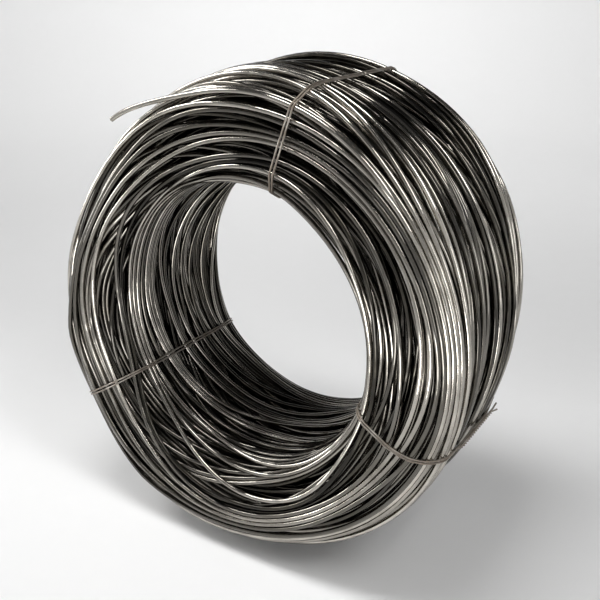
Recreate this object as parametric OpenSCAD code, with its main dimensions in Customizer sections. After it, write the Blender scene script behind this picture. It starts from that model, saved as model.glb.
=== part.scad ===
// Coil of bright drawn carbon steel wire that stands on its rim, bound with three ties of thin wire.
// +Y runs along the coil's axis, the front end faces -Y and +Z is up. The origin is the middle of the eye.

/* [Wire] */
// Thickness of the coiled wire
wire_d = 4; // [2:0.5:6]
// Least spacing of neighbouring turns from middle to middle, in wire thicknesses
turn_spacing = 1.03; // [1.01:0.01:1.2]
// How far the body fills the grooves between turns, from their middles out, as a share of the wire's radius
groove_fill = 0.5; // [0.3:0.05:0.7]

/* [Coil] */
// Outside diameter of the coil
coil_od = 420; // [340:5:520]
// Diameter of the eye through the coil
eye_d = 236; // [160:2:260]
// Width of the coil along its axis
coil_w = 176; // [120:2:220]
// Rounding of the coil's section at its four corners
corner_r = 30; // [12:1:38]

/* [Free end] */
// Angle at which the free end rises from the turns, counted from +X towards +Z
free_root_angle = 76; // [60:1:90]
// Angle of the free end's cut tip
free_tip_angle = 126; // [110:1:140]
// How far the root of the free end lies inside the rim
free_root_depth = 20; // [16:1:24]
// How far the tip stands out past the rim
free_tip_rise = 6; // [2:1:8]
// Bend of the free end, as a share of the rim's radius
free_bend = 0.98; // [0.9:0.01:1.2]
// How far the free end lies behind the front of the coil
free_inset = 6; // [4:0.5:8]

/* [Ties] */
// Thickness of the tie wire
tie_d = 1.4; // [1:0.1:2]
// Gap between a tie and the crests of the turns under it
tie_gap = 0.3; // [0.2:0.05:0.6]
// Spacing of a tie's two strands, in tie wire thicknesses
strand_spacing = 0.92; // [0.8:0.01:0.96]
// Angle of the upper tie
upper_tie_angle = 71; // [60:1:80]
// Angle of the left tie
left_tie_angle = 212; // [200:1:225]
// Angle of the lower tie
lower_tie_angle = 340; // [330:1:350]
// How far a twist along the rim starts behind the front corner
rim_twist_inset = 14; // [4:1:24]
// Length of the twisted ends that lie along the rim
rim_twist_len = 78; // [40:1:90]
// Length of the twisted ends that lie across the back end
back_twist_len = 22; // [12:1:30]
// Length of the two cut ends past the twist
cut_len = 9; // [5:1:14]
// Lean of each cut end away from the twist
cut_lean = 14; // [8:1:20]

/* [Hidden] */
steel = [0.62, 0.61, 0.58];
dark_steel = [0.32, 0.31, 0.29];

wire_r = wire_d / 2;
rim_r = coil_od / 2;
eye_r = eye_d / 2;
mid_r = (rim_r + eye_r) / 2;
half_w = coil_w / 2;

// Straight runs of the section: along the rim and the bore, and across each end
run_w = coil_w - 2 * corner_r;
run_r = rim_r - eye_r - 2 * corner_r;

// The middles of the turns follow the section, half a wire inside it
bend_r = corner_r - wire_r;
bend_len = bend_r * PI / 2;
half_lap = run_w + run_r + 2 * bend_len;
turns = 2 * floor(half_lap / (wire_d * turn_spacing));

function turned(s) = s / bend_r * 180 / PI;
function bend(x, y, a, out) = [x, y] + (bend_r + out) * [cos(a), sin(a)];

// Point at distance s along the rim, the front corner, the front end and the bore corner, moved out a little
function half_lap_point(s, out) =
    s < run_w ? [run_r / 2 + bend_r + out, s - run_w / 2] :
    s < run_w + bend_len ? bend(run_r / 2, run_w / 2, turned(s - run_w), out) :
    s < run_w + bend_len + run_r ? [run_r / 2 - (s - run_w - bend_len), run_w / 2 + bend_r + out] :
    bend(-run_r / 2, run_w / 2, 90 + turned(s - run_w - bend_len - run_r), out);

// The other half of the section is the same run turned end for end
function lap_point(s, out) = s < half_lap ? half_lap_point(s, out) : -half_lap_point(s - half_lap, out);
turn_step = 2 * half_lap / turns;
function lap_points(out) = [for (i = [0:turns - 1]) [mid_r, 0] + lap_point((i + 0.5) * turn_step, out)];

// The free end is an arc through its root and its tip
free_root = (rim_r - free_root_depth) * [cos(free_root_angle), sin(free_root_angle)];
free_tip = (rim_r + free_tip_rise) * [cos(free_tip_angle), sin(free_tip_angle)];
free_r = free_bend * rim_r;
free_chord = free_tip - free_root;
free_half = norm(free_chord) / 2;
free_inward = [-free_chord.y, free_chord.x] / (2 * free_half);
free_middle = (free_root + free_tip) / 2 + free_inward * sqrt(free_r ^ 2 - free_half ^ 2);
free_start = atan2(free_root.y - free_middle.y, free_root.x - free_middle.x);
free_sweep = 2 * asin(free_half / free_r);

// A tie's strands run this far outside the straight runs of the section
tie_reach = corner_r + tie_gap + tie_d / 2;
strand_shift = strand_spacing * tie_d / 2;
twist_rise = 1.2 * tie_d;

// Section of the coil: a round for every turn that shows, on the body of turns below
module coil_section() {
    polygon(lap_points(groove_fill * wire_r));
    for (m = lap_points(0))
        translate(m)
            circle(d = wire_d, $fn = 32);
}

// The last stretch of the wire, which springs away from the front of the coil
module free_end() {
    translate([free_middle.x, free_middle.y, half_w - free_inset])
        rotate([0, 0, free_start])
            rotate_extrude(angle = free_sweep, $fn = 180)
                translate([free_r, 0])
                    circle(d = wire_d, $fn = 32);
}

// One length of wire wound into a bundle with an eye
module wire_coil() {
    color(steel)
        rotate([90, 0, 0]) {
            free_end();
            rotate_extrude($fn = 180)
                coil_section();
        }
}

// The two strands of a tie side by side
module strands() {
    for (side = [-1, 1])
        translate([0, side * strand_shift])
            circle(d = tie_d, $fn = 32);
}

// Quarter bend of the strands around one corner of the section
module strand_bend(x, y, a) {
    translate([x, y, 0])
        rotate([0, 0, a])
            rotate_extrude(angle = 90, $fn = 120)
                translate([tie_reach, 0])
                    strands();
}

// Closed loop of the two strands around the section, drawn flat with the radius along X
module strand_loop() {
    for (side = [-1, 1]) {
        translate([side * (run_r / 2 + tie_reach), -run_w / 2, 0])
            rotate([-90, 0, 0])
                linear_extrude(run_w)
                    strands();
        translate([-run_r / 2, side * (run_w / 2 + tie_reach), 0])
            rotate([90, 0, 90])
                linear_extrude(run_r)
                    strands();
    }
    strand_bend(run_r / 2, run_w / 2, 0);
    strand_bend(-run_r / 2, run_w / 2, 90);
    strand_bend(-run_r / 2, -run_w / 2, 180);
    strand_bend(run_r / 2, -run_w / 2, 270);
}

// Twisted ends laid flat on the strands, with the two cut ends spread apart
module twist(length) {
    cylinder(d = 2 * tie_d, h = length, $fn = 32);
    for (side = [-1, 1])
        translate([0, side * strand_shift, length - tie_d])
            rotate([-side * cut_lean, 0, 0])
                cylinder(d = tie_d, h = cut_len + tie_d, $fn = 32);
}

// Twist along the rim, from its front edge towards the back
module rim_twist() {
    translate([run_r / 2 + tie_reach + twist_rise, run_w / 2 - rim_twist_inset, 0])
        rotate([90, 0, 0])
            twist(rim_twist_len);
}

// Twist across the back end, from the rim towards the eye
module back_twist() {
    translate([run_r / 2, -run_w / 2 - tie_reach - twist_rise, 0])
        rotate([90, 0, -90])
            twist(back_twist_len);
}

// A loop of strands and its twist, stood in place at an angle round the coil
module tie(angle) {
    color(dark_steel)
        rotate([90, 0, 0])
            rotate([0, 0, angle])
                rotate([90, 0, 0])
                    translate([mid_r, 0, 0]) {
                        strand_loop();
                        children();
                    }
}

module tie_upper() {
    tie(upper_tie_angle)
        back_twist();
}

module tie_left() {
    tie(left_tie_angle)
        rim_twist();
}

module tie_lower() {
    tie(lower_tie_angle)
        rim_twist();
}

wire_coil();
tie_upper();
tie_left();
tie_lower();
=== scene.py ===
"""Coil of bright drawn steel wire, laid turn by turn and bound with thin ties, in a pale studio."""

import math

import bmesh
import bpy
import numpy as np
from bpy.props import FloatProperty, FloatVectorProperty, IntProperty, PointerProperty
from bpy.types import Operator, Panel, PropertyGroup
from mathutils import Matrix, Vector


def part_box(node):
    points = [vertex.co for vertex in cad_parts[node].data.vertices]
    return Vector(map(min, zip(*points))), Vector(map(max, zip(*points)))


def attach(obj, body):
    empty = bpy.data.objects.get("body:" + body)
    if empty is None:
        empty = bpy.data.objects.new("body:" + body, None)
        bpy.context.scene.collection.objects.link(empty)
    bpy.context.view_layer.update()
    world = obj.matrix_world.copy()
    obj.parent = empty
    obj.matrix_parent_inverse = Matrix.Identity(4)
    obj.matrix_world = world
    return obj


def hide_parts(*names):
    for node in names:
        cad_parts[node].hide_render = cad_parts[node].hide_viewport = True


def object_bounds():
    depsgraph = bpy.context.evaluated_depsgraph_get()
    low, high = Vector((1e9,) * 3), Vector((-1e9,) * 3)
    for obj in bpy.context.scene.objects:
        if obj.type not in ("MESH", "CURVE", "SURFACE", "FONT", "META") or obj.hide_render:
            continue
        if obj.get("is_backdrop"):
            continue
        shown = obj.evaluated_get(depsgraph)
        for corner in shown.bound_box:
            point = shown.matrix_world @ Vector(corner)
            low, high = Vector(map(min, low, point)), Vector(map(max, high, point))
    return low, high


bl_info = {
    "name": "Wire coil",
    "version": (1, 0, 0),
    "blender": (4, 5, 0),
    "location": "3D View > Sidebar > Wire coil",
    "description": "Builds a tied coil of drawn steel wire turn by turn, and its studio",
    "category": "Object",
}

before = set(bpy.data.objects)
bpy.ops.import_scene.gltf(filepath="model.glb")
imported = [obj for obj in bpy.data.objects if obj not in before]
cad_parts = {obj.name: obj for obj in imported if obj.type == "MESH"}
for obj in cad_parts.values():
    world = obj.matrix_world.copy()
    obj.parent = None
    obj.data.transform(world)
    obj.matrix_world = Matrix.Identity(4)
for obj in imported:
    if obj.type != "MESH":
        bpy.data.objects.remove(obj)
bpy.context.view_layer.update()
coil_low, coil_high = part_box("wire_coil")

BODY = "root"
MM = 0.001
FULL_TURN = 2 * math.pi
# Places round the coil at which a turn is worked out, and sides of the wires' tubes
STATIONS = 128
TURN_SIDES = 8
TIE_SIDES = 8
END_SIDES = 10
# Directions round the section in which its outline and the ties are worked out
DIRECTIONS = 720
# Mean spacing and sway of the turns in each layer, from the surface down, in millimetres
LAYERS = ((10.5, 3.2), (9.5, 2.6), (8.5, 1.8), (8.0, 1.4), (7.0, 1.2), (6.0, 1.2))
# Depth from one layer to the next, in wire thicknesses
LAYER_STEP = 0.92
# Waves that turns share: times round the coil, times along the section and height in millimetres
DRIFT_WAVES = ((1, 2, 10.0), (-1, 3, 7.0), (2, 3, 7.0), (-2, 5, 4.5), (3, 4, 4.5), (-4, 7, 2.0))
# Waves of the hollows in the surface: times round the coil and times along the section
HOLLOW_WAVES = ((1, 3), (-2, 4), (2, 6), (-1, 7), (3, 5))
# Angle of each tie, counted from +X towards +Z, in degrees
TIES = {"tie_upper": 71.0, "tie_left": 212.0, "tie_lower": 340.0}


class CoilSizes(PropertyGroup):
    """Sizes of the bundle of turns."""

    wire: FloatProperty(
        name="Wire thickness", description="Diameter of the coiled wire",
        default=4 * MM, min=MM, unit="LENGTH",
    )
    rim: FloatProperty(
        name="Rim radius", description="Outside radius of the bundle",
        default=coil_high.x, min=0.05, unit="LENGTH",
    )
    eye: FloatProperty(
        name="Eye radius", description="Radius of the opening through the bundle",
        default=118 * MM, min=0.02, unit="LENGTH",
    )
    width: FloatProperty(
        name="Width", description="Width of the bundle along its axis",
        default=coil_high.y - coil_low.y, min=0.02, unit="LENGTH",
    )
    rounding: FloatProperty(
        name="Corner rounding", description="Rounding of the bundle's section",
        default=30 * MM, min=0.005, unit="LENGTH",
    )
    flattening: FloatProperty(
        name="Flattening", description="How far the rim is drawn in at its two sides",
        default=14 * MM, min=0.0, unit="LENGTH",
    )
    slump: FloatProperty(
        name="Slump", description="Share by which the bundle's upper left sinks in at the front",
        default=0.28, min=0.0, max=0.5,
    )
    seed: IntProperty(
        name="Winding", description="Number that picks one winding of the turns",
        default=7, min=0,
    )


class TieSizes(PropertyGroup):
    """Sizes of the thin ties."""

    wire: FloatProperty(
        name="Tie thickness", description="Diameter of the tie wire",
        default=1.4 * MM, min=0.2 * MM, unit="LENGTH",
    )
    pitch: FloatProperty(
        name="Twist pitch", description="Length of one turn of the twisted ends",
        default=7.5 * MM, min=MM, unit="LENGTH",
    )
    rim_twist: FloatProperty(
        name="Rim twist", description="Length of the twisted ends along the rim",
        default=78 * MM, min=0.01, unit="LENGTH",
    )
    back_twist: FloatProperty(
        name="Back twist", description="Length of the twisted ends on the back",
        default=24 * MM, min=0.005, unit="LENGTH",
    )


class Finishes(PropertyGroup):
    """Colours of the two wires and of the studio."""

    steel: FloatVectorProperty(
        name="Drawn steel", description="Bright drawn steel of the coiled wire",
        default=(0.235, 0.221, 0.199), subtype="COLOR", min=0.0, max=1.0,
    )
    residue: FloatVectorProperty(
        name="Drawing residue", description="Brown-grey film left by drawing",
        default=(0.10, 0.09, 0.07), subtype="COLOR", min=0.0, max=1.0,
    )
    annealed: FloatVectorProperty(
        name="Annealed steel", description="Dark soft steel of the ties",
        default=(0.27, 0.26, 0.245), subtype="COLOR", min=0.0, max=1.0,
    )
    floor: FloatVectorProperty(
        name="Floor", description="Pale floor and sweep of the studio",
        default=(0.86, 0.86, 0.86), subtype="COLOR", min=0.0, max=1.0,
    )


class Studio(PropertyGroup):
    """Camera: where it stands, its lens and its shift."""

    azimuth: FloatProperty(
        name="Camera azimuth", description="Angle of the camera round the coil",
        default=math.radians(32.6), subtype="ANGLE",
    )
    elevation: FloatProperty(
        name="Camera elevation", description="Angle of the camera above the level",
        default=math.radians(21.4), subtype="ANGLE",
    )
    distance: FloatProperty(
        name="Camera distance", description="From the camera to the coil's middle",
        default=0.732, min=0.1, unit="LENGTH",
    )
    lens: FloatProperty(
        name="Lens", description="Focal length on a 36 mm frame, in millimetres",
        default=50.2, min=10.0,
    )
    shift: FloatVectorProperty(
        name="Shift", description="Shift of the picture to the side and up, in picture widths",
        default=(0.0335, 0.0033), size=2,
    )


# Meshes


def unit(v):
    """Vectors divided by their lengths."""
    return v / np.maximum(np.linalg.norm(v, axis=-1, keepdims=True), 1e-12)


def put(section, angle):
    """Points of the bundle's section, as radius and place along the axis, stood up at angles round it."""
    radius, along, angle = np.broadcast_arrays(section[..., 0], section[..., 1], angle)
    return np.stack([radius * np.cos(angle), along, radius * np.sin(angle)], -1)


def tube(paths, out, radius, sides, closed):
    """Round tubes along a stack of paths.

    A vertex is its path's point plus the radius times cos a along the outward direction, made
    square to the path, and sin a along the direction square to both, for a from 0 to a full turn.
    Returns vertices, quads, and for each quad's corners the length along and the share round.
    """
    count, steps = paths.shape[:2]
    if closed:
        tangent = unit(np.roll(paths, -1, 1) - np.roll(paths, 1, 1))
    else:
        tangent = unit(np.gradient(paths, axis=1))
    out = np.broadcast_to(out, paths.shape)
    normal = unit(out - (out * tangent).sum(-1, keepdims=True) * tangent)
    side = np.cross(tangent, normal)
    a = np.arange(sides) * FULL_TURN / sides
    ring = normal[:, :, None] * np.cos(a)[:, None] + side[:, :, None] * np.sin(a)[:, None]
    thick = np.broadcast_to(radius, (count, steps))[..., None, None]
    verts = (paths[:, :, None] + thick * ring).reshape(-1, 3)
    spans = steps if closed else steps - 1
    t, k, s = np.meshgrid(np.arange(count), np.arange(spans), np.arange(sides), indexing="ij")

    def corner(dk, ds):
        return ((t * steps + (k + dk) % steps) * sides + (s + ds) % sides).ravel()

    quads = np.stack([corner(0, 0), corner(0, 1), corner(1, 1), corner(1, 0)], -1)
    run = np.linalg.norm(np.roll(paths, -1, 1) - paths, axis=-1)
    length = np.concatenate([np.zeros((count, 1)), run.cumsum(1)], 1)
    along = np.stack([length[t, k + d].ravel() for d in (0, 0, 1, 1)], -1)
    round_ = np.stack([((s + d) / sides).ravel() for d in (0, 1, 1, 0)], -1)
    return verts, quads, np.stack([along, round_], -1)


def new_piece(name, verts, quads, uv, material, tone=None, weld=False):
    """A smooth mesh object of quads at the origin, with its own map and a tone for each vertex."""
    mesh = bpy.data.meshes.new(name)
    mesh.vertices.add(len(verts))
    mesh.vertices.foreach_set("co", np.ascontiguousarray(verts, np.float32).ravel())
    mesh.loops.add(quads.size)
    mesh.loops.foreach_set("vertex_index", np.ascontiguousarray(quads, np.int32).ravel())
    mesh.polygons.add(len(quads))
    mesh.polygons.foreach_set("loop_start", np.arange(0, quads.size, 4, dtype=np.int32))
    mesh.polygons.foreach_set("use_smooth", np.ones(len(quads), bool))
    layer = mesh.uv_layers.new(name="along_and_round")
    layer.data.foreach_set("uv", np.ascontiguousarray(uv, np.float32).ravel())
    if tone is not None:
        attribute = mesh.attributes.new("tone", "FLOAT", "POINT")
        attribute.data.foreach_set("value", np.ascontiguousarray(tone, np.float32))
    mesh.update(calc_edges=True)
    if weld:
        work = bmesh.new()
        work.from_mesh(mesh)
        bmesh.ops.remove_doubles(work, verts=work.verts, dist=1e-7)
        work.to_mesh(mesh)
        work.free()
    mesh.validate()
    mesh.materials.append(material)
    piece = bpy.data.objects.new(name, mesh)
    bpy.context.collection.objects.link(piece)
    return piece


def carry(piece, node):
    """Sets a piece on the body it rides on and hides the part of the model that it stands for."""
    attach(piece, BODY)
    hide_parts(node)


# The winding


def section_outline(coil, inset):
    """Rounded rectangle of the bundle's section, set in a little, as a closed line of points.

    A point at angle a lies at the middle of its corner plus the rounding along (cos a, sin a), and
    the straight runs join the corners. Returns the points and the distance along to each.
    """
    a = (np.arange(DIRECTIONS) + 0.5) * FULL_TURN / DIRECTIONS
    turn = np.stack([np.cos(a), np.sin(a)], -1)
    reach = np.array([(coil.rim - coil.eye) / 2, coil.width / 2]) - coil.rounding
    points = np.sign(turn) * reach + (coil.rounding - inset) * turn
    points[:, 0] += (coil.rim + coil.eye) / 2
    points = np.concatenate([points, points[:1]])
    distance = np.concatenate([[0], np.linalg.norm(np.diff(points, axis=0), axis=1).cumsum()])
    return points, distance


def few_waves(place, most):
    """Closed lines smoothed as stiff wire is: only their first few waves round the coil are kept."""
    spectrum = np.fft.rfft(place, axis=-1)
    spectrum[..., most + 1:] = 0
    return np.fft.irfft(spectrum, place.shape[-1], axis=-1)


def drift(rng, share, angle):
    """Slow wave over the share along the section and the angle: a sum of sines that run both ways.

    Turns that lie side by side move together, so they crowd in some places and part in others.
    """
    moved = np.zeros((len(share), len(angle)))
    for round_, across, height in DRIFT_WAVES:
        phase = rng.uniform(0, FULL_TURN)
        moved += height * MM * np.sin(FULL_TURN * across * share[:, None] + round_ * angle + phase)
    return moved


def hollows(rng, share, angle):
    """Depth of the hollows in the surface: a sum of sines over share and angle, cut at zero."""
    height, lift = 1.6 * MM, 0.8
    deep = np.zeros(np.broadcast(share, angle).shape)
    for round_, across in HOLLOW_WAVES:
        phase = rng.uniform(0, FULL_TURN)
        deep += np.sin(FULL_TURN * across * share + round_ * angle + phase)
    return height * np.maximum(deep + lift, 0)


def rim_at(coil, angle):
    """Rim radius: drawn in by half of 1 - cos of twice the angle from the line where it is full."""
    full = math.radians(75)
    return coil.rim - coil.flattening * (1 - np.cos(2 * (angle - full))) / 2


def off_angle(angle, degrees):
    """Angle from a direction given in degrees, between minus and plus half a turn."""
    return (angle - math.radians(degrees) + math.pi) % FULL_TURN - math.pi


def squeeze_at(angle):
    """Share by which the ties draw the section together: a smooth bell round each tie."""
    pinch, reach = 0.03, math.radians(15)
    tight = np.zeros_like(angle)
    for degrees in TIES.values():
        tight += np.exp(-(off_angle(angle, degrees) / reach) ** 2)
    return pinch * tight


def slump_at(coil, angle, along):
    """Share by which the turns sink in: a bell round the upper left, and a straight rise to the front."""
    deepest, reach, middle_share = 142, math.radians(42), 0.6
    bell = np.exp(-(off_angle(angle, deepest) / reach) ** 2)
    return coil.slump * bell * np.clip(middle_share - along / coil.width, 0, 1)


def outward(section, middle, coil):
    """Outward direction at points of the section: what reaches past its straight runs, at unit length."""
    reach = np.array([(coil.rim - coil.eye) / 2, coil.width / 2]) - coil.rounding
    past = section - middle
    over = np.sign(past) * np.maximum(np.abs(past) - reach, 0)
    return unit(over)


def layer_places(coil, angle, rng, depth, spacing, sway):
    """Places of one layer's turns along the section at each angle, in order and about a wire apart.

    A turn starts at its slot, plus the drift that it shares with its neighbours, plus a small wave
    of its own. Turns that are too near push each other apart and are smoothed, over and over.
    Returns the places as distances along the bundle's own outline.
    """
    jitter, rounds, waves_kept = 0.3, 150, 7
    least_gap = 1.04 * coil.wire
    own_distance = section_outline(coil, coil.wire / 2 + depth)[1]
    length = own_distance[-1]
    count = int(length / spacing)
    share = (np.arange(count) + rng.uniform(-jitter, jitter, count)) / count
    height = rng.gamma(2.0, sway / 2, (count, 1, 1))
    wave = np.arange(1, 4)[:, None]
    parts = rng.normal(size=(count, 3, 2)) / wave
    basis = np.stack([np.cos(wave * angle), np.sin(wave * angle)], 1)
    own = np.einsum("nmc,mck->nk", height * parts, basis)
    place = share[:, None] * length + drift(rng, share, angle) + own
    for _ in range(rounds):
        gap = np.roll(place, -1, 0) - place
        gap[-1] += length
        push = 0.5 * np.maximum(least_gap - gap, 0)
        place = few_waves(place + np.roll(push, 1, 0) - push, waves_kept)
    distance = section_outline(coil, coil.wire / 2)[1]
    return np.interp(place % length, own_distance, distance)


def winding(coil):
    """The turns layer by layer: radius and place along the axis of each turn at each angle.

    A layer lies a little less than a wire below the one above it, so its turns pass under the others
    where they cross. All layers sink together in the hollows, the ties draw the section together,
    and the radius past the eye is drawn in with the rim and the slump.
    """
    rng = np.random.default_rng(coil.seed)
    angle = np.arange(STATIONS) * FULL_TURN / STATIONS
    points, distance = section_outline(coil, coil.wire / 2)
    middle = np.array([(coil.rim + coil.eye) / 2, 0])
    thin = (rim_at(coil, angle) - coil.eye) / (coil.rim - coil.eye)
    layers = []
    for number, (spacing, sway) in enumerate(LAYERS):
        depth = LAYER_STEP * coil.wire * number
        place = layer_places(coil, angle, rng, depth, spacing * MM, sway * MM)
        section = np.stack([np.interp(place, distance, points[:, c]) for c in (0, 1)], -1)
        sink = depth + hollows(np.random.default_rng(coil.seed + 5), place / distance[-1], angle)
        section = section - sink[..., None] * outward(section, middle, coil)
        section = middle + (section - middle) * (1 - squeeze_at(angle))[:, None]
        full = thin * (1 - slump_at(coil, angle, section[..., 1]))
        section[..., 0] = coil.eye + (section[..., 0] - coil.eye) * full
        layers.append(section)
    return layers, angle


def free_end_path(coil):
    """The free end: it lies on the front corner of the bundle, then springs off to its cut tip.

    Its root dives under the turns by a power of the angle. From there it lies at one place round the
    section's corner, and past the lift a smooth step in angle moves it to the place of its tip.
    """
    root, lie, lift, sprung, tip = np.radians((34, 50, 84, 121, 122))
    corner = math.radians(148)
    dive = 5.5 * MM
    angle = np.linspace(root, tip, 110)
    rounding = coil.rounding - coil.wire / 2
    rim = rim_at(coil, angle)
    sink = dive * np.clip((lie - angle) / (lie - root), 0, 1) ** 1.5
    lie_r = rim - coil.rounding + (rounding - sink) * math.sin(corner)
    lie_y = -coil.width / 2 + coil.rounding + (rounding - sink) * math.cos(corner)
    lie_r = coil.eye + (lie_r - coil.eye) * (1 - slump_at(coil, angle, lie_y))
    share = np.clip((angle - lift) / (sprung - lift), 0, 1)
    spring = share * share * (3 - 2 * share)
    tip_r = coil.rim - 20 * MM
    tip_y = -coil.width / 2 + 1 * MM
    section = np.stack([lie_r + (tip_r - lie_r) * spring, lie_y + (tip_y - lie_y) * spring], -1)
    return section, angle


# Finishes


class Socket:
    """An output of a node that takes part in Python sums, each of which adds a Math node."""

    def __init__(self, finish, output):
        self.finish = finish
        self.output = output

    def math(self, operation, first, second):
        return self.finish.node("ShaderNodeMath", {"operation": operation}, {0: first, 1: second})

    def __add__(self, other):
        return self.math("ADD", self, other)

    def __radd__(self, other):
        return self.math("ADD", other, self)

    def __sub__(self, other):
        return self.math("SUBTRACT", self, other)

    def __rsub__(self, other):
        return self.math("SUBTRACT", other, self)

    def __mul__(self, other):
        return self.math("MULTIPLY", self, other)

    def __rmul__(self, other):
        return self.math("MULTIPLY", other, self)


class Finish:
    """A material under construction, around one Principled shader."""

    def __init__(self, name):
        self.material = bpy.data.materials.new(name)
        self.material.use_nodes = True
        self.tree = self.material.node_tree
        self.shader = self.tree.nodes["Principled BSDF"]

    def node(self, kind, settings=None, inputs=None, output=0):
        """Adds a node, sets its settings, then its sockets' values or links, and gives one output."""
        made = self.tree.nodes.new(kind)
        for name, value in (settings or {}).items():
            if name == "stops":
                ramp = made.color_ramp.elements
                while len(ramp) < len(value):
                    ramp.new(0.5)
                for element, (place, shade) in zip(ramp, value):
                    element.position = place
                    element.color = (shade, shade, shade, 1)
            else:
                setattr(made, name, value)
        for name, value in (inputs or {}).items():
            self.feed(made.inputs[name], value)
        return Socket(self, made.outputs[output])

    def feed(self, socket, value):
        """Links a socket to an output, or sets its own value."""
        if isinstance(value, Socket):
            self.tree.links.new(value.output, socket)
        else:
            socket.default_value = value

    def set(self, **sockets):
        """Feeds the shader's sockets, named with _ for a space."""
        for name, value in sockets.items():
            self.feed(self.shader.inputs[name.replace("_", " ")], value)
        return self.material

    def mix(self, share, first, second):
        """Colour between two colours."""
        return self.node(
            "ShaderNodeMix", {"data_type": "RGBA"}, {0: share, 6: first, 7: second}, output=2
        )

    def ramp(self, value, *stops):
        """Grey value from a ramp of places and shades."""
        return self.node("ShaderNodeValToRGB", {"stops": stops}, {0: value})

    def noise(self, place, scale, detail=3.0, rough=0.55):
        """Noise between 0 and 1 at places in space or on the piece's own map."""
        return self.node(
            "ShaderNodeTexNoise", None,
            {"Vector": place, "Scale": scale, "Detail": detail, "Roughness": rough},
        )

    def stretched(self, place, scale):
        """Places scaled apart along each axis."""
        return self.node("ShaderNodeMapping", None, {"Vector": place, "Scale": scale})


def colour(rgb, gain=1.0):
    """A colour with its full opacity, lighter or darker."""
    return (*(min(1.0, c * gain) for c in rgb), 1.0)


def drawn_steel(name, rgb, residue, gain):
    """Bright drawn wire: die lines along it, slight kinks, residue in patches, and a tone for each turn,
    which on the deeper turns also carries painted shade; a gain below one darkens the whole colour as
    painted shade.
    """
    darkest, lightest = 0.16 * gain, 2.9 * gain
    f = Finish(name)
    where = f.node("ShaderNodeTexCoord", output=3)
    mapped = f.node("ShaderNodeUVMap", {"uv_map": "along_and_round"})
    tone = f.node("ShaderNodeAttribute", {"attribute_name": "tone"}, output=2)
    die = f.noise(f.stretched(mapped, (9.0, 14.0, 1.0)), 2.0, 4.0, 0.6)
    streak = f.noise(f.stretched(mapped, (34.0, 2.0, 1.0)), 1.0, 2.0)
    patch = f.noise(where, 26.0, 4.0, 0.6)
    film = f.ramp(patch * 0.75 + streak * 0.35, (0.46, 0.0), (0.74, 1.0))
    light = f.mix(tone, colour(rgb, darkest), colour(rgb, lightest))
    worn = f.mix(film * 0.62, light, colour(residue, gain))
    rough = 0.085 + film * 0.17 + die * 0.06
    kinks = f.node(
        "ShaderNodeTexNoise", {"noise_dimensions": "4D"},
        {
            "Vector": f.stretched(mapped, (42.0, 0.7, 1.0)),
            "W": tone * 40.0,
            "Scale": 1.0,
            "Detail": 1.0,
        },
    )
    waved = f.node("ShaderNodeBump", None, {"Strength": 1.0, "Distance": 1.3 * MM, "Height": kinks})
    bump = f.node(
        "ShaderNodeBump", None,
        {"Strength": 0.16, "Distance": 0.1 * MM, "Height": die, "Normal": waved},
    )
    return f.set(Base_Color=worn, Metallic=1.0, Roughness=rough, Normal=bump)


def annealed_steel(name, rgb):
    """Soft tie wire: dark scale with rubbed spots and a little brown."""
    f = Finish(name)
    where = f.node("ShaderNodeTexCoord", output=3)
    mapped = f.node("ShaderNodeUVMap", {"uv_map": "along_and_round"})
    scale = f.noise(where, 180.0, 4.0, 0.6)
    rubbed = f.ramp(f.noise(f.stretched(mapped, (60.0, 3.0, 1.0)), 1.0, 3.0), (0.5, 0.0), (0.7, 1.0))
    brown = (rgb[0] * 0.9, rgb[1] * 0.72, rgb[2] * 0.55)
    base = f.mix(scale, colour(rgb, 0.7), colour(brown))
    worn = f.mix(rubbed * 0.6, base, colour(rgb, 2.1))
    rough = 0.5 - rubbed * 0.2 + scale * 0.1
    bump = f.node("ShaderNodeBump", None, {"Strength": 0.3, "Distance": 0.08 * MM, "Height": scale})
    return f.set(Base_Color=worn, Metallic=0.92, Roughness=rough, Normal=bump)


def studio_paper(name, rgb):
    """Matt pale paper with a faint tooth."""
    f = Finish(name)
    where = f.node("ShaderNodeTexCoord", output=3)
    tooth = f.noise(where, 60.0, 2.0)
    base = f.mix(tooth, colour(rgb, 0.985), colour(rgb))
    return f.set(Base_Color=base, Roughness=0.85, Specular_IOR_Level=0.2)


# Operators


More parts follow.
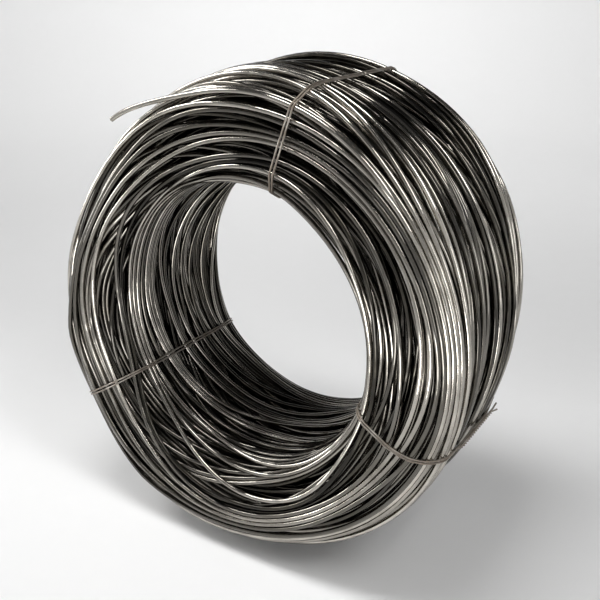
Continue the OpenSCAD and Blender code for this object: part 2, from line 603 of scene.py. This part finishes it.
class WIRECOIL_OT_turns(Operator):
    """Builds the turns of the coil, each layer coloured darker than the one above as painted shade, and the
    body of turns below them, coloured darker still as painted shade
    """

    bl_idname = "wirecoil.turns"
    bl_label = "Turns"

    def execute(self, context):
        coil = context.scene.coil_sizes
        looks = context.scene.coil_finishes
        layers, angle = winding(coil)
        rng = np.random.default_rng(coil.seed + 1)
        # Painted shade: a layer's turns are coloured this much darker than those of the layer above,
        # standing in for the shade deeper in the bundle
        painted_depth_shade = 0.74
        steel = drawn_steel("drawn_steel", looks.steel, looks.residue, 1.0)
        radial = put(np.stack([np.ones_like(angle), np.zeros_like(angle)], -1), angle)
        for number, section in enumerate(layers, 1):
            # Each turn's tone is a random tone times its layer's painted depth shade
            tone = rng.beta(0.85, 1.5, len(section)) * painted_depth_shade ** (number - 1)
            path = put(section, angle)
            verts, quads, uv = tube(path, radial, coil.wire / 2, TURN_SIDES, closed=True)
            shade = np.repeat(tone, len(angle) * TURN_SIDES)
            piece = new_piece(f"turns_{number}", verts, quads, uv, steel, shade)
            carry(piece, "wire_coil")
        self.core(coil, looks, angle)
        return {"FINISHED"}

    def core(self, coil, looks, angle):
        """The body of turns below: the bundle's section set in, in ridges a wire apart, carried round."""
        depth = 24 * MM
        pitch, height = 1.1 * coil.wire, 0.3 * coil.wire
        points, distance = section_outline(coil, coil.wire / 2 + depth)
        ridges = int(distance[-1] / pitch)
        s = np.linspace(0, distance[-1], 4 * ridges, endpoint=False)
        line = np.stack([np.interp(s, distance, points[:, c]) for c in (0, 1)], -1)
        middle = np.array([(coil.rim + coil.eye) / 2, 0])
        crest = np.abs(np.cos(np.pi * s / distance[-1] * ridges))
        line = line + height * crest[:, None] * outward(line, middle, coil)
        stations = angle[::2]
        thin = (rim_at(coil, stations) - coil.eye) / (coil.rim - coil.eye)
        grid = middle + (line - middle) * (1 - squeeze_at(stations))[:, None, None]
        full = thin[:, None] * (1 - slump_at(coil, stations[:, None], grid[..., 1]))
        grid[..., 0] = coil.eye + (grid[..., 0] - coil.eye) * full
        verts = put(grid, stations[:, None]).reshape(-1, 3)
        steps, sides = grid.shape[:2]
        k, j = np.meshgrid(np.arange(steps), np.arange(sides), indexing="ij")

        def corner(dk, dj):
            return ((k + dk) % steps * sides + (j + dj) % sides).ravel()

        quads = np.stack([corner(0, 0), corner(0, 1), corner(1, 1), corner(1, 0)], -1)
        uv = np.stack(
            [
                np.stack([((k + dk) / steps * FULL_TURN * coil.rim).ravel(), ((j + dj) / 4).ravel()], -1)
                for dk, dj in ((0, 0), (0, 1), (1, 1), (1, 0))
            ],
            1,
        )
        # Painted shade: the body below gets the drawn steel at about a third of its brightness and a low
        # tone, standing in for the shade deep in the bundle
        dark = drawn_steel("drawn_steel_below_painted_shade", looks.steel, looks.residue, 0.35)
        piece = new_piece("turns_below", verts, quads, uv, dark, np.full(len(verts), 0.3))
        carry(piece, "wire_coil")


class WIRECOIL_OT_free_end(Operator):
    """Builds the free end that springs off the front of the coil"""

    bl_idname = "wirecoil.free_end"
    bl_label = "Free end"

    def execute(self, context):
        coil = context.scene.coil_sizes
        looks = context.scene.coil_finishes
        section, angle = free_end_path(coil)
        path = put(section, angle)
        # The cut: the wire runs on a little, narrows and closes
        past = np.array([[0.2], [0.4], [0.4]]) * MM
        path = np.concatenate([path, path[-1] + past * unit(path[-1] - path[-2])])[None]
        radius = np.full(path.shape[1], coil.wire / 2)
        radius[0] = 0
        radius[-2:] = 0.8 * coil.wire / 2, 0
        radial = put(np.array([1.0, 0.0]), np.append(angle, [angle[-1]] * 3))
        verts, quads, uv = tube(path, radial, radius, END_SIDES, closed=False)
        steel = drawn_steel("drawn_steel_end", looks.steel, looks.residue, 1.05)
        tone = np.full(len(verts), 0.7)
        piece = new_piece("free_end", verts, quads, uv, steel, tone, weld=True)
        carry(piece, "wire_coil")
        return {"FINISHED"}


class WIRECOIL_OT_ties(Operator):
    """Builds the ties: two strands drawn tight round the bundle, and their twisted ends"""

    bl_idname = "wirecoil.ties"
    bl_label = "Ties"

    def execute(self, context):
        coil = context.scene.coil_sizes
        tie = context.scene.coil_ties
        looks = context.scene.coil_finishes
        dark = annealed_steel("annealed_steel", looks.annealed)
        section = np.concatenate(winding(coil)[0])
        clear = 0.05 * MM
        for number, (name, degrees) in enumerate(TIES.items()):
            at = math.radians(degrees)
            place = at / FULL_TURN * STATIONS
            low = int(place) % STATIONS
            share = place - int(place)
            centres = (1 - share) * section[:, low] + share * section[:, (low + 1) % STATIONS]
            if name == "tie_upper":
                end_section, end_angle = free_end_path(coil)
                passing = [np.interp(at, end_angle, end_section[:, c]) for c in (0, 1)]
                centres = np.vstack([centres, passing])
            loop, way = self.taut_loop(centres, (coil.wire + tie.wire) / 2 + clear)
            meshes = [self.strand(loop, way, at, tie, side, number) for side in (-1, 1)]
            meshes += self.twisted_ends(centres, at, tie, coil, on_rim=name != "tie_upper")
            shift = np.cumsum([0] + [len(m[0]) for m in meshes[:-1]])
            verts = np.concatenate([m[0] for m in meshes])
            quads = np.concatenate([m[1] + n for m, n in zip(meshes, shift)])
            uv = np.concatenate([m[2] for m in meshes])
            piece = new_piece(f"{name}_strands", verts, quads, uv, dark, weld=True)
            carry(piece, name)
        return {"FINISHED"}

    @staticmethod
    def taut_loop(centres, reach, count=240):
        """Line of a wire drawn tight round turns: the outermost one along each direction, plus a reach."""
        a = np.arange(DIRECTIONS) * FULL_TURN / DIRECTIONS
        way = np.stack([np.cos(a), np.sin(a)], -1)
        line = centres[(centres @ way.T).argmax(0)] + reach * way
        line = np.concatenate([line, line[:1]])
        way = np.concatenate([way, way[:1]])
        distance = np.concatenate([[0], np.linalg.norm(np.diff(line, axis=0), axis=1).cumsum()])
        s = np.arange(count) / count * distance[-1]
        loop = np.stack([np.interp(s, distance, line[:, c]) for c in (0, 1)], -1)
        out = np.stack([np.interp(s, distance, way[:, c]) for c in (0, 1)], -1)
        return loop, unit(out)

    @staticmethod
    def strand(loop, way, at, tie, side, number):
        """One strand of a tie: the tight loop, moved sideways by slow waves that part the pair."""
        share = np.arange(len(loop)) / len(loop)
        apart = 0.55 + 0.35 * np.sin(FULL_TURN * (2 * share + 0.3 * number)) ** 2
        apart = apart + 0.25 * np.sin(FULL_TURN * (3 * share + 0.17 * number * side)) ** 2
        round_way = np.array([-math.sin(at), 0, math.cos(at)])
        path = put(loop, at) + (side * apart * tie.wire)[:, None] * round_way
        return tube(path[None], put(way, at), tie.wire / 2, TIE_SIDES, closed=True)

    @staticmethod
    def twisted_ends(centres, at, tie, coil, on_rim):
        """The two ends of a tie wound round each other, with their cut tips spread apart.

        Each is a helix of about the tie's own radius round the twist's axis, which climbs off the loop
        by a smooth step and then lies flat on it. Past the twist each end runs straight and leans away.
        """
        lift = (coil.wire + tie.wire) / 2
        rim_start, back_start = -44 * MM, 16 * MM
        tips, climb_run, climb_height = 9 * MM, 14 * MM, 1.5 * tie.wire
        helix = 0.52 * tie.wire
        lean_wide, lean_high, lean_up = 0.25, 0.12, 0.06
        if on_rim:
            top = centres[:, 0].max() + lift
            start = np.array([top, rim_start])
            run = np.array([0.0, 1.0])
            up = np.array([1.0, 0.0])
            length = tie.rim_twist
        else:
            top = centres[:, 1].max() + lift
            start = np.array([(coil.rim + coil.eye) / 2 + back_start, top])
            run = np.array([-1.0, 0.0])
            up = np.array([0.0, 1.0])
            length = tie.back_twist
        s = np.linspace(0, length + tips, 170)
        turn = FULL_TURN * np.minimum(s, length) / tie.pitch
        ramp = np.clip(s / climb_run, 0, 1)
        climb = climb_height * ramp * ramp * (3 - 2 * ramp)
        spread = np.maximum(s - length, 0)
        axis, out = put(run, at), put(up, at)
        across = np.array([-math.sin(at), 0, math.cos(at)])
        made = []
        for side in (-1, 1):
            wide = side * (helix * np.cos(turn) + lean_wide * spread * np.cos(turn[-1]))
            high = side * (helix * np.sin(turn) + lean_high * spread) + lean_up * spread + climb
            path = put(start, at) + s[:, None] * axis + wide[:, None] * across + high[:, None] * out
            path = np.concatenate([path[:1], path, path[-1:]])[None]
            radius = np.full(path.shape[1], tie.wire / 2)
            radius[[0, -1]] = 0
            path[0, 0] += 1e-6 * -axis
            path[0, -1] += 1e-6 * axis
            made.append(tube(path, out, radius, TIE_SIDES, closed=False))
        return made


def soft_box(name, place, aim, size, bright, spread, across):
    """Area lamp of a given brightness that faces a point, with its first side square to a direction."""
    lamp = bpy.data.lights.new(name, "AREA")
    lamp.shape = "RECTANGLE"
    lamp.size, lamp.size_y = size
    lamp.energy = bright * math.pi * size[0] * size[1]
    lamp.spread = math.radians(spread)
    box = bpy.data.objects.new(name, lamp)
    box.visible_camera = False
    away = (Vector(place) - Vector(aim)).normalized()
    along = across.cross(away).normalized()
    turned = Matrix((along, away.cross(along), away)).transposed()
    box.matrix_world = Matrix.Translation(place) @ turned.to_4x4()
    bpy.context.collection.objects.link(box)


class WIRECOIL_OT_stage(Operator):
    """Builds the pale sweep, the lamps and the camera"""

    bl_idname = "wirecoil.stage"
    bl_label = "Stage"

    def execute(self, context):
        self.sweep(context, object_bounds()[0].z)
        self.lamps(context)
        self.camera(context)
        return {"FINISHED"}

    @staticmethod
    def sweep(context, level):
        """Round floor that curves up at its edge: a flat run, a quarter bend and a wall, turned about Z."""
        flat, cove, wall = 1.9, 0.7, 1.6
        sides = 96
        run = np.linspace(0, flat, 19, endpoint=False)
        a = np.linspace(0, np.pi / 2, 14)
        radius = np.concatenate([run, flat + cove * np.sin(a), [flat + cove]])
        height = np.concatenate([np.zeros_like(run), cove * (1 - np.cos(a)), [wall]])
        steps = len(radius)
        around = np.arange(sides) * FULL_TURN / sides
        verts = np.stack(
            [
                np.outer(radius, np.cos(around)),
                np.outer(radius, np.sin(around)),
                np.outer(height, np.ones(sides)) + level,
            ],
            -1,
        ).reshape(-1, 3)
        k, j = np.meshgrid(np.arange(steps - 1), np.arange(sides), indexing="ij")

        def corner(dk, dj):
            return ((k + dk) * sides + (j + dj) % sides).ravel()

        quads = np.stack([corner(0, 0), corner(1, 0), corner(1, 1), corner(0, 1)], -1)
        paper = studio_paper("studio_paper", context.scene.coil_finishes.floor)
        uv = np.zeros((len(quads), 4, 2))
        new_piece("studio_sweep", verts, quads, uv, paper, weld=True)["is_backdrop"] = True

    @staticmethod
    def lamps(context):
        """Soft boxes on an arch over the coil from side to side, two more in front, and a dim world.

        Four lamps high over the coil face away from it and light the sweep all round.
        """
        up = Vector((0, 0, 1))
        axis = Vector((0, 1, 0))
        arch_radius, arch_front, arch_size = 1.15, -0.30, (0.50, 0.30)
        # Degrees along the arch from the right, brightness, and spread in degrees
        arch = {
            "right_low": (8, 0.5, 56),
            "right": (47, 4.6, 120),
            "over": (92, 5.7, 120),
            "left": (136, 6.3, 120),
            "left_low": (172, 1.6, 56),
        }
        for name, (degrees, bright, spread) in arch.items():
            a = math.radians(degrees)
            place = Vector((arch_radius * math.cos(a), arch_front, arch_radius * math.sin(a)))
            soft_box(f"box_{name}", place, Vector(), arch_size, bright, spread, axis)
        soft_box(
            "box_front_floor", place=(0.34, -0.54, 0.62), aim=(0.34, -0.53, -0.21),
            size=(0.40, 0.30), bright=0.35, spread=80, across=up,
        )
        soft_box(
            "card_front", place=(0.10, -0.41, -0.12), aim=(0.0, 0.0, 0.08),
            size=(0.40, 0.10), bright=1.4, spread=60, across=up,
        )
        # The first of these faces the part of the sweep behind the coil, as the camera sees it
        for number, bright in enumerate((8.4, 4.2, 3.6, 5.0)):
            way = math.radians(120.6 + 90 * number)
            out = Vector((math.cos(way), math.sin(way), 0))
            place = 0.6 * out + 1.9 * up
            aim = 2.45 * out + 0.2 * up
            soft_box(f"sweep_light_{number}", place, aim, (1.2, 0.6), bright, 110, up)
        world = bpy.data.worlds.new("studio_air")
        world.use_nodes = True
        world.node_tree.nodes["Background"].inputs["Color"].default_value = (0.05, 0.05, 0.05, 1)
        context.scene.world = world
        context.scene.view_settings.view_transform = "Standard"

    @staticmethod
    def camera(context):
        """Camera on a line from the coil's middle, shifted to frame it as the photograph does."""
        studio = context.scene.coil_studio
        level = math.cos(studio.elevation)
        back = Vector(
            (
                math.sin(studio.azimuth) * level,
                -math.cos(studio.azimuth) * level,
                math.sin(studio.elevation),
            )
        )
        lens = bpy.data.cameras.new("camera")
        lens.sensor_width = 36
        lens.lens = studio.lens
        lens.shift_x, lens.shift_y = studio.shift
        lens.clip_start = 0.01
        camera = bpy.data.objects.new("camera", lens)
        camera.location = back * studio.distance
        camera.rotation_euler = back.to_track_quat("Z", "Y").to_euler()
        context.collection.objects.link(camera)
        context.scene.camera = camera


class WIRECOIL_PT_panel(Panel):
    """Sizes, finishes and operators of the coil"""

    bl_idname = "WIRECOIL_PT_panel"
    bl_label = "Wire coil"
    bl_space_type = "VIEW_3D"
    bl_region_type = "UI"
    bl_category = "Wire coil"

    def draw(self, context):
        scene = context.scene
        for group in (scene.coil_sizes, scene.coil_ties, scene.coil_finishes, scene.coil_studio):
            box = self.layout.box()
            for name in group.__annotations__:
                box.prop(group, name)
        for operator in OPERATORS:
            self.layout.operator(operator.bl_idname)


GROUPS = {
    "coil_sizes": CoilSizes,
    "coil_ties": TieSizes,
    "coil_finishes": Finishes,
    "coil_studio": Studio,
}
OPERATORS = (WIRECOIL_OT_turns, WIRECOIL_OT_free_end, WIRECOIL_OT_ties, WIRECOIL_OT_stage)
CLASSES = (*GROUPS.values(), *OPERATORS, WIRECOIL_PT_panel)


def register():
    for cls in CLASSES:
        bpy.utils.register_class(cls)
    for name, group in GROUPS.items():
        setattr(bpy.types.Scene, name, PointerProperty(type=group))


def unregister():
    for name in GROUPS:
        delattr(bpy.types.Scene, name)
    for cls in reversed(CLASSES):
        bpy.utils.unregister_class(cls)


def main():
    """Builds the coil and its studio."""
    register()
    bpy.ops.wirecoil.turns()
    bpy.ops.wirecoil.free_end()
    bpy.ops.wirecoil.ties()
    bpy.ops.wirecoil.stage()


if __name__ == "__main__":
    main()
